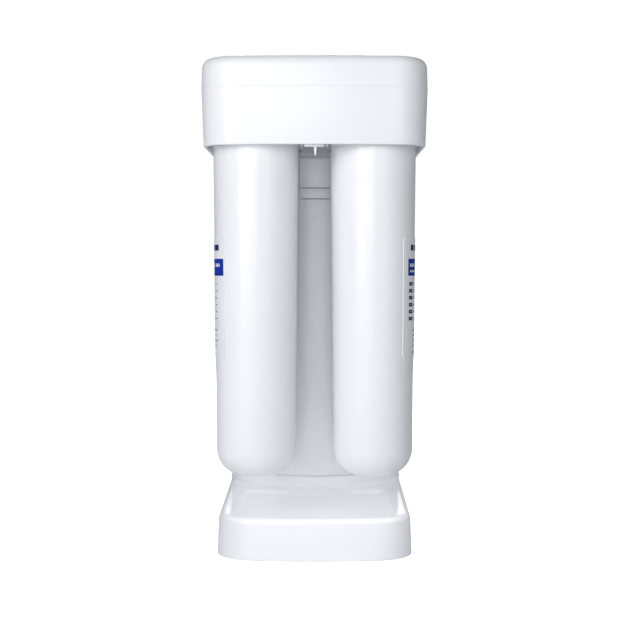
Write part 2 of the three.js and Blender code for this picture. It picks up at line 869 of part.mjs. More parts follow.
add("tank_lower_shell", tankLowerShell(), MATERIALS.tank, 0, TANK.y);
add("tank_upper_shell", tankUpperShell(), MATERIALS.tank, 0, TANK.y);
add("tank_clamp_ring", tankClampRing(), MATERIALS.tank, 0, TANK.y);
add("tank_gasket", tankGasket(), MATERIALS.rubber, 0, TANK.y);
add("tank_bladder", tankBladder(), MATERIALS.bladder, 0, TANK.y);
add("tank_nipple", tankNipple(), MATERIALS.innerPlastic);

add("head_lid", headLid(), MATERIALS.shell);
add("head_housing", headHousing(), MATERIALS.shell);
add("manifold", manifold(), MATERIALS.innerPlastic);
MANIFOLD_SCREWS.forEach((place, i) => {
  add(`manifold_screw_${i + 1}`, screw(place, MANIFOLD_PLATE.top, 14, 1), MATERIALS.steel);
});
add("shutoff_valve_body", shutoffValveBody(), MATERIALS.innerPlastic);
add("shutoff_piston", shutoffPiston(), MATERIALS.rotor);
add("shutoff_valve_cap", shutoffValveCap(), MATERIALS.innerPlastic);
add("check_valve", inlineFitting(CHECK_VALVE), MATERIALS.rotor);
add("flow_restrictor", inlineFitting(RESTRICTOR), MATERIALS.drainCollet);
add("tank_tube", tankTube(), MATERIALS.tube);
add("drain_tube", drainTube(), MATERIALS.tube);

ports().forEach(({ name, x, finish }) => {
  add(`${name}_connector`, layAlongY(connector(), x, PORT.inner, PORT.z), MATERIALS.innerPlastic);
  add(`${name}_collet`, layAlongY(collet(), x, COLLET.inner, PORT.z), finish);
});

sockets().forEach(({ name, x, y, side, core: coreRadius, finish }) => {
  add(`${name}_body`, cartridgeBody(), MATERIALS.cartridge, x, y);
  add(`${name}_cap`, cartridgeCap(), MATERIALS.innerPlastic, x, y);
  add(`${name}_seal`, seal(), MATERIALS.rubber, x, y);
  add(`${name}_core`, core(coreRadius), finish, x, y);
  add(`${name}_label`, label(side), MATERIALS.label, x, y);
  add(`${name}_rotor`, rotor(), MATERIALS.rotor, x, y);
});

export default unit;
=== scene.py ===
"""A compact under-sink reverse osmosis unit with its own storage tank.

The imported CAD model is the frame: every piece here rides on one of its bodies and takes its place
from the CAD nodes' boxes. Sizes are in millimetres and become metres when a mesh is made. The front
of the unit faces -Y and +Z is up.
"""

import json
import math
import random

import bmesh
import bpy
import numpy as np
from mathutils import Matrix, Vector

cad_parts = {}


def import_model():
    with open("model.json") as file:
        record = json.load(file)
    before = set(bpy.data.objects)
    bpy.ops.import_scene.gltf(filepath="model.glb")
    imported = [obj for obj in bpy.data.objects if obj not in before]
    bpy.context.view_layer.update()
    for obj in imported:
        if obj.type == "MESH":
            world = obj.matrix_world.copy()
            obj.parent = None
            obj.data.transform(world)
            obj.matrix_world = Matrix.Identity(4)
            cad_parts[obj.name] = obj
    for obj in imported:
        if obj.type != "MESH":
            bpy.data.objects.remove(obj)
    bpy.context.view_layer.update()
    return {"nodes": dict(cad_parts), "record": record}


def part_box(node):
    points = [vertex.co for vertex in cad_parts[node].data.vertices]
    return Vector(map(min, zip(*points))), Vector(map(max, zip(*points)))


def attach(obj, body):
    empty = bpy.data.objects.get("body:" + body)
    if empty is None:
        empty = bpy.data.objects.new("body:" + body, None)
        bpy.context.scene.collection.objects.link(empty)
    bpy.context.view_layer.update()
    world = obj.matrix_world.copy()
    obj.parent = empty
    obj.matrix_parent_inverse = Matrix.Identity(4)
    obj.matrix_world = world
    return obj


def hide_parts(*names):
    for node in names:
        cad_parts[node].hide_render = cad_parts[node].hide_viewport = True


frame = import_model()

MM = 0.001
PORTS = ("feed", "product", "drain")
STAGES = ("sediment_filter", "carbon_filter", "membrane_filter", "mineral_filter")


# ---- Places and sizes from the frame ----


def span(node):
    """A CAD node's lowest and highest corners, in millimetres."""
    low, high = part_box(node)
    return Vector(low) / MM, Vector(high) / MM


def middle(node):
    """The centre of a CAD node's box, in millimetres."""
    low, high = span(node)
    return (low + high) / 2


HEAD_LOW, HEAD_HIGH = span("head_housing")
LID_HIGH = span("head_lid")[1]
BASE_LOW, BASE_HIGH = span("base_shell")
TANK_LOW = span("tank_lower_shell")[0]
RING_LOW, RING_HIGH = span("tank_clamp_ring")
PLATE_LOW, PLATE_HIGH = span("base_plate")

SEAM = 395.8  # height of the line between the lid and the housing
SEAM_GAP = 0.06
SEAM_EDGE = 0.14
LID_WALL = 2.5
LID_EDGE = 8.5
LID_DRAFT = 0.7
CROWN = 0.2  # how far the lid's top rises from its edge to its middle
SKIRT_LOW = 347.7
SKIRT_WALL = 2.5
SKIRT_DRAFT = 1.8
UNDERSIDE = (351.5, 354.0)  # the plate inside the skirt, bottom and top
HOLE_CLEARANCE = 1.2  # round a cartridge in that plate

HEAD_PLAN = {
    "half": HEAD_HIGH.x,
    "front": HEAD_LOW.y,
    "rear": HEAD_HIGH.y,
    "front_arc": 620.0,
    "front_corner": 32.0,
    "rear_arc": 300.0,
    "rear_corner": 76.0,
}
BASE_PLAN = {
    "half": 83.5,
    "rear_half": BASE_HIGH.x + 1.2,
    "front": BASE_LOW.y,
    "rear": BASE_HIGH.y,
    "front_arc": 420.0,
    "front_corner": 38.0,
    "rear_arc": 100.0,
    "rear_corner": 76.0,
}
BASE_TOP = 35.5
BASE_DRAFT = 1.3
BASE_WALL = 2.6
BASE_EDGE = 5.0

TANK_Y = middle("tank_lower_shell").y
TANK_RADIUS = 83.7
TANK_WALL = 3.0
TANK_SPIGOT = 77.2
TANK_STEP = 294.3
TANK_FLANGE = 0.6  # how far the tank stands out above the step
TANK_LAP = TANK_WALL + 3.0  # how far the tank's mouth lies inside its outer face
COLLAR_BORE = 77.9
COLLAR_FLARE = 1.2

TRAY = {"half": 67.0, "front": -165.0, "corner": 24.0, "rear_radius": 111.0, "rear_corner": 12.0}
TRAY_DEPTH = 3.6
TRAY_SLOPE = 5.0

CARTRIDGE_TOP = span("mineral_filter_body")[1].z
CARTRIDGE_BOTTOM = span("mineral_filter_body")[0].z
CARTRIDGE_RADIUS = 36.5
CARTRIDGE_TAPER = 2.7
CARTRIDGE_ROUND = 23.0
CARTRIDGE_WALL = 2.8
NECK_RADIUS = 22.6
GROOVE_RADIUS = 20.8
TIP_RADIUS = 13.0
TIP_BORE = 4.0

LABEL_LOW, LABEL_HIGH = 168.5, 271.5
LABEL_HALF_ANGLE = 46.0
FILM_THICKNESS = 0.42
INK_RAISED = 0.47
KNOCKOUT_RAISED = 0.52

RING_POINTS = 420
TURN_STEPS = 144


# ---- Curves ----


def arc(centre, radius, start, end, steps):
    """Points of an arc, with its angles in degrees."""
    angles = np.radians(np.linspace(start, end, steps + 1))
    return [(centre[0] + radius * math.cos(a), centre[1] + radius * math.sin(a)) for a in angles]


def rounded_corner(before, here, after, radius, steps):
    """Points of the arc that rounds one corner of a path."""
    to_before = (before - here).normalized()
    to_after = (after - here).normalized()
    half = to_before.angle(to_after) / 2
    centre = here + (to_before + to_after).normalized() * radius / math.sin(half)
    reach = radius / math.tan(half)
    first = here + to_before * reach - centre
    last = here + to_after * reach - centre
    start = math.atan2(first.y, first.x)
    turn = (math.atan2(last.y, last.x) - start + math.pi) % (2 * math.pi) - math.pi
    return arc(centre, radius, math.degrees(start), math.degrees(start + turn), steps)


def filleted(corners, closed=True, steps=5):
    """A path through (a, b, radius) corners, with each corner rounded to its radius."""
    points = []
    for i, (a, b, radius) in enumerate(corners):
        is_end = not closed and i in (0, len(corners) - 1)
        if is_end or radius == 0:
            points.append((a, b))
            continue
        before = Vector(corners[i - 1][:2])
        after = Vector(corners[(i + 1) % len(corners)][:2])
        points += rounded_corner(before, Vector((a, b)), after, radius, steps)
    return points


def plan_end(half, edge, end_arc, corner, turn):
    """One end of a plan: a corner, the end's flat arc and the other corner. turn is 0 or 180."""
    outward = math.cos(math.radians(turn))
    offset = half - corner
    reach = math.sqrt((end_arc - corner) ** 2 - offset**2)
    lean = math.degrees(math.atan2(offset, reach))
    arc_y = edge - outward * end_arc
    corner_y = arc_y + outward * reach
    sweeps = (
        ((outward * offset, corner_y), corner, 0, 90 - lean),
        ((0, arc_y), end_arc, 90 - lean, 90 + lean),
        ((-outward * offset, corner_y), corner, 90 + lean, 180),
    )
    return [p for centre, r, a, b in sweeps for p in arc(centre, r, turn + a, turn + b, 60)]


def plan_outline(plan, inset=0.0):
    """A plan's outline moved in by an inset, anticlockwise."""
    rear_half = plan.get("rear_half", plan["half"]) - inset
    rear = (plan["rear"] - inset, plan["rear_arc"] - inset, plan["rear_corner"] - inset)
    front = (plan["front"] + inset, plan["front_arc"] - inset, plan["front_corner"] - inset)
    return plan_end(rear_half, *rear, 0) + plan_end(plan["half"] - inset, *front, 180)


def tray_outline(inset=0.0):
    """The tray's outline: a bowed front, straight sides and a rear edge round the tank."""
    half = TRAY["half"] - inset
    corner = TRAY["rear_corner"] - inset
    rear_radius = TRAY["rear_radius"] + inset
    centre_x = half - corner
    drop = math.sqrt((rear_radius + corner) ** 2 - centre_x**2)
    centre_y = TANK_Y - drop
    lean = math.degrees(math.atan2(drop, centre_x))
    front = plan_end(half, TRAY["front"] + inset, 420.0 - inset, TRAY["corner"] - inset, 180)
    right = arc((centre_x, centre_y), corner, 0, 180 - lean, 30)
    rear = arc((0, TANK_Y), rear_radius, -lean, lean - 180, 60)
    left = arc((-centre_x, centre_y), corner, lean, 180, 30)
    return right + rear + left + front


def evenly(outline, count):
    """Points spaced evenly along a closed outline."""
    points = np.array(outline + outline[:1])
    travelled = np.concatenate([[0], np.cumsum(np.linalg.norm(np.diff(points, axis=0), axis=1))])
    wanted = np.linspace(0, travelled[-1], count, endpoint=False)
    return np.stack([np.interp(wanted, travelled, points[:, k]) for k in (0, 1)], axis=1)


def ring_angles(outline, centre):
    """The directions from a centre to points spaced evenly along an outline."""
    offsets = evenly(outline, RING_POINTS) - centre
    return np.arctan2(offsets[:, 1], offsets[:, 0])


def ring(outline, centre, angles, z):
    """An outline's points in the given directions from a centre, at one height."""
    offsets = evenly(outline, 12 * RING_POINTS) - centre
    bearings = np.arctan2(offsets[:, 1], offsets[:, 0])
    reach = np.interp(angles, bearings, np.hypot(*offsets.T), period=2 * math.pi)
    return [
        (centre[0] + r * math.cos(a), centre[1] + r * math.sin(a), z) for a, r in zip(angles, reach)
    ]


def toward(points, centre, share, rise=0.0):
    """A ring moved towards a centre by a share of the way, and raised."""
    return [
        (x + (centre[0] - x) * share, y + (centre[1] - y) * share, z + rise) for x, y, z in points
    ]


# ---- Meshes ----


class Surface:
    """Vertices and faces that become one mesh. Each face remembers its material's number."""

    def __init__(self):
        self.vertices = []
        self.faces = []
        self.finishes = []

    def face(self, indices, finish=0):
        self.faces.append(tuple(indices))
        self.finishes.append(finish)

    def loft(self, rings, wrap=False, caps=(False, False), finish=0):
        """Quads between rings of equal length. wrap joins the last ring to the first."""
        first = len(self.vertices)
        count = len(rings[0])
        for points in rings:
            self.vertices += points
        pairs = list(zip(range(len(rings)), range(1, len(rings))))
        if wrap:
            pairs.append((len(rings) - 1, 0))
        for low, high in pairs:
            for i in range(count):
                j = (i + 1) % count
                a, b = first + low * count, first + high * count
                self.face((a + i, a + j, b + j, b + i), finish)
        if caps[0]:
            self.face(range(first + count - 1, first - 1, -1), finish)
        if caps[1]:
            last = first + (len(rings) - 1) * count
            self.face(range(last, last + count), finish)
        return self

    def turned(self, profile, centre=(0, 0, 0), axis="Z", closed=False, steps=TURN_STEPS, finish=0):
        """A surface of revolution from (radius, height) pairs, with heights along the axis."""
        rings = []
        for radius, height in profile:
            circle = arc((0, 0), radius, 0, 360, steps)[:-1]
            rings.append([place(u, v, height, centre, axis) for u, v in circle])
        return self.loft(rings, wrap=closed, finish=finish)

    def block(self, low, high, radius=0.6, finish=0):
        """A box with rounded upright edges and chamfered ends."""
        (x0, y0, z0), (x1, y1, z1) = low, high
        bevel = radius * 0.6

        def level(z, inset):
            r = radius - inset * 0.5
            corners = [
                (x0 + inset, y0 + inset, r),
                (x1 - inset, y0 + inset, r),
                (x1 - inset, y1 - inset, r),
                (x0 + inset, y1 - inset, r),
            ]
            return [(x, y, z) for x, y in filleted(corners, steps=3)]

        levels = ((z0, bevel), (z0 + bevel, 0), (z1 - bevel, 0), (z1, bevel))
        return self.loft([level(z, i) for z, i in levels], caps=(True, True), finish=finish)


def place(u, v, height, centre, axis):
    """A point of a turned surface. The axis is Z, or Y for what lies along the depth."""
    x, y, z = centre
    if axis == "Z":
        return (x + u, y + v, z + height)
    return (x + u, y + height, z - v)


def make_piece(name, surface, materials, body, replaces=(), sharp=32.0):
    """A mesh object from a surface, riding on a body and standing for CAD nodes."""
    mesh = bpy.data.meshes.new(name)
    mesh.from_pydata([Vector(v) * MM for v in surface.vertices], [], surface.faces)
    mesh.polygons.foreach_set("material_index", surface.finishes)
    shell = bmesh.new()
    shell.from_mesh(mesh)
    bmesh.ops.remove_doubles(shell, verts=shell.verts, dist=1e-7)
    bmesh.ops.recalc_face_normals(shell, faces=shell.faces)
    shell.to_mesh(mesh)
    shell.free()
    mesh.shade_smooth()
    mesh.set_sharp_from_angle(angle=math.radians(sharp))
    for material in materials if isinstance(materials, (list, tuple)) else [materials]:
        mesh.materials.append(material)
    piece = bpy.data.objects.new(name, mesh)
    bpy.context.collection.objects.link(piece)
    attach(piece, body)
    if replaces:
        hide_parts(*replaces)
    return piece


def plate_with_holes(name, outline, holes, low, high, bevel):
    """A flat plate between two heights, filled from curves so that its holes stay round."""
    curve = bpy.data.curves.new(name, "CURVE")
    curve.dimensions = "2D"
    curve.fill_mode = "BOTH"
    curve.bevel_depth = bevel * MM
    curve.bevel_resolution = 2
    curve.extrude = ((high - low) / 2 - bevel) * MM
    curve.offset = -bevel * MM
    for path in [outline, *holes]:
        spline = curve.splines.new("POLY")
        spline.points.add(len(path) - 1)
        spline.points.foreach_set("co", [c for x, y in path for c in (x * MM, y * MM, 0, 1)])
        spline.use_cyclic_u = True
    holder = bpy.data.objects.new(name, curve)
    bpy.context.collection.objects.link(holder)
    evaluated = holder.evaluated_get(bpy.context.evaluated_depsgraph_get())
    mesh = bpy.data.meshes.new_from_object(evaluated)
    bpy.data.objects.remove(holder)
    surface = Surface()
    raised = (low + high) / 2
    surface.vertices = [(v.co.x / MM, v.co.y / MM, v.co.z / MM + raised) for v in mesh.vertices]
    for polygon in mesh.polygons:
        surface.face(polygon.vertices)
    bpy.data.meshes.remove(mesh)
    return surface


def cut_away(piece, cutter):
    """Cuts a surface's solid out of a piece for good."""
    cutter_mesh = bpy.data.meshes.new("cutter")
    cutter_mesh.from_pydata([Vector(v) * MM for v in cutter.vertices], [], cutter.faces)
    tool = bpy.data.objects.new("cutter", cutter_mesh)
    bpy.context.collection.objects.link(tool)
    modifier = piece.modifiers.new("cut", "BOOLEAN")
    modifier.object = tool
    modifier.solver = "EXACT"
    evaluated = piece.evaluated_get(bpy.context.evaluated_depsgraph_get())
    mesh = bpy.data.meshes.new_from_object(evaluated)
    piece.modifiers.remove(modifier)
    old = piece.data
    piece.data = mesh
    bpy.data.meshes.remove(old)
    bpy.data.objects.remove(tool)
    bpy.data.meshes.remove(cutter_mesh)
    mesh.set_sharp_from_angle(angle=math.radians(32))


# ---- Materials ----


class Shader:
    """A Principled material with short calls to add and link its nodes."""

    def __init__(self, name, roughness, metallic=0.0):
        self.material = bpy.data.materials.new(name)
        self.material.use_nodes = True
        self.nodes = self.material.node_tree.nodes
        self.links = self.material.node_tree.links
        self.surface = self.nodes["Principled BSDF"]
        self.surface.inputs["Roughness"].default_value = roughness
        self.surface.inputs["Metallic"].default_value = metallic
        self.place = self.nodes.new("ShaderNodeTexCoord").outputs["Object"]

    def noise(self, scale, detail=3.0, stretch=(1, 1, 1)):
        """A noise value from 0 to 1. The scale is in features per metre."""
        mapping = self.nodes.new("ShaderNodeMapping")
        mapping.inputs["Scale"].default_value = stretch
        self.links.new(self.place, mapping.inputs["Vector"])
        texture = self.nodes.new("ShaderNodeTexNoise")
        texture.inputs["Scale"].default_value = scale
        texture.inputs["Detail"].default_value = detail
        self.links.new(mapping.outputs["Vector"], texture.inputs["Vector"])
        return texture.outputs["Fac"]

    def spread(self, value, low, high, start=0.3, end=0.7):
        """A value remapped from start..end to low..high."""
        remap = self.nodes.new("ShaderNodeMapRange")
        self.links.new(value, remap.inputs["Value"])
        limits = {"From Min": start, "From Max": end, "To Min": low, "To Max": high}
        for socket, number in limits.items():
            remap.inputs[socket].default_value = number
        return remap.outputs["Result"]

    def colours(self, value, dark, light, start=0.35, end=0.65):
        """A colour between two, chosen by a value."""
        ramp = self.nodes.new("ShaderNodeValToRGB")
        ramp.color_ramp.elements[0].position = start
        ramp.color_ramp.elements[1].position = end
        ramp.color_ramp.elements[0].color = (*dark, 1)
        ramp.color_ramp.elements[1].color = (*light, 1)
        self.links.new(value, ramp.inputs["Fac"])
        self.links.new(ramp.outputs["Color"], self.surface.inputs["Base Color"])

    def bump(self, value, depth, strength=1.0, under=None):
        """Bump from a value. The depth is in millimetres."""
        node = self.nodes.new("ShaderNodeBump")
        node.inputs["Strength"].default_value = strength
        node.inputs["Distance"].default_value = depth * MM
        self.links.new(value, node.inputs["Height"])
        if under:
            self.links.new(under, node.inputs["Normal"])
        self.links.new(node.outputs["Normal"], self.surface.inputs["Normal"])
        return node.outputs["Normal"]


def shades(colour, spread):
    """A darker and a lighter shade of a colour."""
    return tuple(c * (1 - spread) for c in colour), tuple(min(1, c * (1 + spread)) for c in colour)


def moulded(name, colour, roughness, spread=0.008, grain=0.003, ripple=0.018, coat=0.0):
    """Moulded plastic: faint cloudiness, an uneven sheen, fine grain and shallow flow ripples."""
    shader = Shader(name, roughness)
    shader.colours(shader.noise(11.0), *shades(colour, spread))
    gloss = shader.spread(shader.noise(38.0, 4.0), roughness - 0.02, roughness + 0.04)
    shader.links.new(gloss, shader.surface.inputs["Roughness"])
    waves = shader.bump(shader.noise(26.0, 1.0, (1, 1, 0.4)), ripple)
    shader.bump(shader.noise(1300.0, 2.0), grain, under=waves)
    shader.surface.inputs["IOR"].default_value = 1.49
    shader.surface.inputs["Coat Weight"].default_value = coat
    shader.surface.inputs["Coat Roughness"].default_value = 0.12
    return shader.material


def printed(name, colour, roughness=0.6):
    """Printed ink on film: matt, with slightly uneven cover and a fine dot grain."""
    shader = Shader(name, roughness)
    shader.surface.inputs["Specular IOR Level"].default_value = 0.15
    shader.colours(shader.noise(900.0, 4.0), *shades(colour, 0.07))
    shader.bump(shader.noise(3000.0, 1.0), 0.01, 0.4)
    return shader.material


def rubber(name, colour):
    """Black rubber with a matt bloom and a pebbled grain."""
    shader = Shader(name, 0.8)
    shader.colours(shader.noise(160.0, 6.0), *shades(colour, 0.35))
    shader.bump(shader.noise(1500.0, 3.0), 0.06, 0.6)
    return shader.material


def fibre(name, colour):
    """Wound or spun filter medium: fine threads that run round the core."""
    shader = Shader(name, 0.9)
    threads = shader.noise(420.0, 5.0, (0.25, 0.25, 2.5))
    shader.colours(threads, *shades(colour, 0.14))
    shader.bump(threads, 0.4, 0.8)
    return shader.material


def carbon_block(name, colour):
    """Pressed carbon: black and granular, with a few brighter grains."""
    shader = Shader(name, 0.92)
    grains = shader.noise(1300.0, 6.0)
    shader.colours(grains, tuple(c * 0.5 for c in colour), tuple(c * 2.2 for c in colour))
    shader.bump(grains, 0.25, 0.8)
    return shader.material


def tubing(name, colour):
    """Semi-clear polyethylene tube."""
    shader = Shader(name, 0.3)
    shader.colours(shader.noise(60.0), *shades(colour, 0.04))
    shader.bump(shader.noise(1200.0, 2.0), 0.01, 0.4)
    shader.surface.inputs["Subsurface Weight"].default_value = 0.2
    shader.surface.inputs["Subsurface Radius"].default_value = (0.002, 0.002, 0.003)
    return shader.material


def steel(name):
    """Zinc-plated steel with a fine turned grain."""
    shader = Shader(name, 0.32, metallic=1.0)
    lines = shader.noise(700.0, 4.0, (1, 1, 6))
    shader.colours(lines, (0.5, 0.51, 0.53), (0.68, 0.69, 0.7))
    shader.bump(lines, 0.02, 0.5)
    return shader.material


WHITE = (0.885, 0.893, 0.92)
MATERIALS = {
    "shell": moulded("shell_plastic", WHITE, 0.33, coat=0.1),
    "tank": moulded("tank_plastic", (0.86, 0.868, 0.895), 0.38, ripple=0.024),
    "cartridge": moulded("cartridge_plastic", (0.89, 0.898, 0.922), 0.32, coat=0.2),
    "label": moulded("label_film", (0.87, 0.88, 0.905), 0.42, grain=0.001, ripple=0.004),
    # Natural plastic for the inner parts; the same darker grey also serves as painted shade on the
    # head's underside plate.
    "inner_plastic": moulded("natural_plastic_and_painted_shade", (0.7, 0.71, 0.72), 0.5, spread=0.03, grain=0.004),
    "rotor": moulded("blue_acetal", (0.05, 0.12, 0.4), 0.42, spread=0.06),
    "tube": tubing("tube_plastic", (0.55, 0.68, 0.82)),
    "feed_collet": moulded("red_acetal", (0.42, 0.035, 0.025), 0.38, spread=0.06),
    "drain_collet": moulded("black_acetal", (0.02, 0.02, 0.022), 0.36, spread=0.1),
    "product_collet": moulded("bright_blue_acetal", (0.015, 0.08, 0.42), 0.36, spread=0.06),
    "rubber": rubber("black_rubber", (0.018, 0.018, 0.019)),
    "bladder": rubber("butyl_rubber", (0.03, 0.034, 0.04)),
    "sediment": fibre("spun_fibre", (0.78, 0.75, 0.66)),
    "membrane": fibre("membrane_wrap", (0.55, 0.62, 0.7)),
    "carbon": carbon_block("carbon_block", (0.018, 0.018, 0.019)),
    "steel": steel("zinc_plated_steel"),
}
INKS = {
    "navy": printed("navy_ink", (0.006, 0.02, 0.09)),
    "blue": printed("blue_ink", (0.005, 0.035, 0.34)),
    "grey": printed("grey_ink", (0.2, 0.23, 0.31)),
    "white": printed("white_ink", (0.8, 0.82, 0.86)),
}


# ---- Head ----

HEAD_CENTRE = (0.0, 0.0)
HEAD_ANGLES = ring_angles(plan_outline(HEAD_PLAN), HEAD_CENTRE)


def head_ring(inset, z):
    return ring(plan_outline(HEAD_PLAN, inset), HEAD_CENTRE, HEAD_ANGLES, z)


def domed(rings, centre, rise, shares=(0.01, 0.04, 0.1, 0.2, 0.35, 0.5, 0.65, 0.8, 0.92, 1.0)):
    """Closes a stack of rings with a shallow dome over its last ring."""
    edge = rings[-1]
    return rings + [toward(edge, centre, s, rise * (1 - (1 - s) ** 2)) for s in shares]


def head_lid():
    """The lid: rounded top edge, crowned top, and a lip that drops inside the housing."""
    low = SEAM + SEAM_GAP
    top = LID_HIGH.z
    ceiling = [head_ring(LID_DRAFT + LID_EDGE + 2, top - LID_WALL - CROWN)]
    inside = domed(ceiling, HEAD_CENTRE, CROWN)[::-1]
    lip = filleted(
        [
            (LID_DRAFT + LID_EDGE + 2, top - LID_WALL - CROWN, 0),
            (LID_DRAFT + LID_WALL + 2, top - LID_WALL - CROWN, 6),
            (LID_WALL + 2.4, SEAM - 5, 0.4),
            (LID_WALL + 0.6, SEAM - 5, 0.5),
            (LID_WALL + 0.6, low, 0.2),
            (0, low, SEAM_EDGE),
            (LID_DRAFT, top - CROWN, LID_EDGE),
            (LID_DRAFT + LID_EDGE + 4, top - CROWN, 0),
        ],
        closed=False,
        steps=10,
    )
    outside = domed([head_ring(inset, z) for inset, z in lip], HEAD_CENTRE, CROWN)
    surface = Surface().loft(inside + outside)
    return make_piece("lid_cover", surface, MATERIALS["shell"], "lid", ["head_lid"])


def head_skirt():
    """The housing's wall, from the skirt's lower edge to the seam."""
    section = filleted(
        [
            (SKIRT_DRAFT, SKIRT_LOW, 0.8),
            (0, SEAM, SEAM_EDGE),
            (SKIRT_WALL, SEAM, 0.4),
            (SKIRT_WALL + SKIRT_DRAFT, SKIRT_LOW, 0.6),
        ]
    )
    surface = Surface().loft([head_ring(inset, z) for inset, z in section], wrap=True)
    piece = make_piece(
        "housing_skirt", surface, MATERIALS["shell"], "frame", ["head_housing"]
    )
    cut_away(piece, recess_cutter())
    return piece


# ---- Rear recess and tube connectors ----

BARREL_RADIUS = 7.2
BARREL_BORE = 3.4
COLLET_SEAT = 5.2
COLLET_SLEEVE = 4.7
COLLET_FLANGE = 6.3
COLLET_BORE = 3.3
RECESS = {"half": 44.0, "low": 360.0, "high": 388.0, "floor": 163.0, "wall": 2.0, "corner": 5.0}


def recess_section(grow):
    """The recess's rounded rectangle, as (x, z) points."""
    half = RECESS["half"] + grow
    low, high = RECESS["low"] - grow, RECESS["high"] + grow
    radius = RECESS["corner"] + grow
    return filleted(
        [(-half, low, radius), (half, low, radius), (half, high, radius), (-half, high, radius)]
    )


def rear_face(x, z):
    """How far back the housing's rear wall is at a place."""
    inset = SKIRT_DRAFT * (SEAM - z) / (SEAM - SKIRT_LOW)
    rear = [p for p in plan_outline(HEAD_PLAN, inset) if p[1] > 0]
    return float(np.interp(-x, [-a for a, _ in rear], [b for _, b in rear]))


def recess_cutter():
    far = HEAD_PLAN["rear"] + 20
    rings = [[(x, y, z) for x, z in recess_section(0)] for y in (RECESS["floor"], far)]
    return Surface().loft(rings, caps=(True, True))


def rear_recess():
    """The recess's lining: a rolled mouth, its walls, and a back for the connectors."""
    wall, floor = RECESS["wall"], RECESS["floor"]

    def along_rear(grow, depth):
        return [(x, rear_face(x, z) - depth, z) for x, z in recess_section(grow)]

    def at_depth(grow, y):
        return [(x, y, z) for x, z in recess_section(grow)]

    rings = [
        at_depth(-0.05, floor),
        along_rear(-0.05, 1.2),
        along_rear(-0.3, 0.5),
        along_rear(-0.05, 0.15),
        along_rear(0.1, 0.6),
        along_rear(wall, 2.8),
        at_depth(wall, floor - wall),
    ]
    surface = Surface().loft(rings[::-1])
    lining = make_piece("recess_lining", surface, MATERIALS["shell"], "frame")
    centres = [middle(f"{port}_connector") for port in PORTS]
    holes = [arc((c.x, c.z), BARREL_RADIUS + 0.7, 0, 360, 48)[:-1] for c in centres]
    back = plate_with_holes("recess_back", recess_section(0.4), holes, 0, wall, 0.3)
    back.vertices = [(x, floor - wall + z, y) for x, y, z in back.vertices]
    make_piece("recess_back", back, MATERIALS["shell"], "frame")
    return lining


def connector(port):
    """A push-fit connector: its barrel with a round collar, and the mouth for the collet."""
    low, high = span(f"{port}_connector")
    centre = (middle(f"{port}_connector").x, 0, middle(f"{port}_connector").z)
    radius, neck = BARREL_RADIUS, BARREL_RADIUS - 0.3
    collar, collar_low, collar_high = radius + 0.9, RECESS["floor"] + 1.2, RECESS["floor"] + 4.2
    profile = filleted(
        [
            (BARREL_BORE, low.y, 0.3),
            (radius, low.y, 0.4),
            (radius, collar_low, 0.3),
            (collar, collar_low, 0.4),
            (collar, collar_high, 0.4),
            (neck, collar_high, 0.3),
            (neck, high.y - 4, 0.3),
            (radius, high.y - 4, 0.3),
            (radius, high.y, 0.7),
            (COLLET_SEAT, high.y, 0.4),
            (COLLET_SEAT, high.y - 15, 0.2),
            (BARREL_BORE, high.y - 15, 0.2),
        ],
        steps=3,
    )
    surface = Surface().turned(profile, centre, "Y", closed=True, steps=72)
    slot = "inner_plastic"
    node = f"{port}_connector"
    return make_piece(f"{port}_fitting", surface, MATERIALS[slot], "frame", [node])


def collet(port):
    """A release collet: a flanged sleeve with a rounded mouth."""
    low, high = span(f"{port}_collet")
    centre = (middle(f"{port}_collet").x, 0, middle(f"{port}_collet").z)
    profile = filleted(
        [
            (COLLET_BORE, low.y, 0.2),
            (COLLET_SLEEVE, low.y, 0.5),
            (COLLET_SLEEVE, high.y - 2, 0.2),
            (COLLET_FLANGE, high.y - 2, 0.4),
            (COLLET_FLANGE, high.y, 0.6),
            (COLLET_BORE, high.y, 0.7),
        ],
        steps=4,
    )
    surface = Surface().turned(profile, centre, "Y", closed=True, steps=72)
    slot = f"{port}_collet"
    return make_piece(f"{port}_ring", surface, MATERIALS[slot], f"{port}_release", [slot])


# ---- Underside of the head ----


def head_underside():
    """The plate inside the skirt, with a round hole for each cartridge and one for the tank."""
    outline = plan_outline(HEAD_PLAN, SKIRT_DRAFT + SKIRT_WALL - 0.2)
    holes = [arc((0, TANK_Y), TANK_RADIUS + 0.5, 0, 360, TURN_STEPS)[:-1]]
    for stage in STAGES:
        centre = middle(f"{stage}_body")
        holes.append(arc(centre, CARTRIDGE_RADIUS + HOLE_CLEARANCE, 0, 360, 96)[:-1])
    surface = plate_with_holes("underside_plate", outline, holes, *UNDERSIDE, 0.4)
    # The underside plate takes the darker natural plastic instead of the white shell plastic:
    # painted shade for the dim space under the head.
    make_piece("underside_plate", surface, MATERIALS["inner_plastic"], "frame")
    locating_tab()
    for stage in STAGES:
        socket_rim(stage)


def locating_tab():
    """A tab behind the skirt's front edge, with a hook at each end and a tapered rib behind it."""
    back = HEAD_PLAN["front"] + SKIRT_DRAFT + SKIRT_WALL + 2.0
    low, top = SKIRT_LOW - 1.7, UNDERSIDE[0] + 0.5
    trim = Surface()
    trim.block((-8.3, back, low), (8.3, back + 3.4, top), 0.8)
    for side in (-1, 1):
        x = side * 10.6
        trim.block((x - 0.5, back, low + 0.2), (x + 0.5, back + 3.4, top), 0.3)
    rib_low = low - 6.6
    levels = [(rib_low, 0.3), (rib_low + 0.5, 0.6), (low, 1.1), (top, 1.3)]
    middle_x = 0.7
    rings = [
        [
            (middle_x - half, back + 3.0, z),
            (middle_x + half, back + 3.0, z),
            (middle_x + half, back + 15.0, z),
            (middle_x - half, back + 15.0, z),
        ]
        for z, half in levels
    ]
    trim.loft(rings, caps=(True, True))
    make_piece("underside_rib", trim, MATERIALS["shell"], "frame")


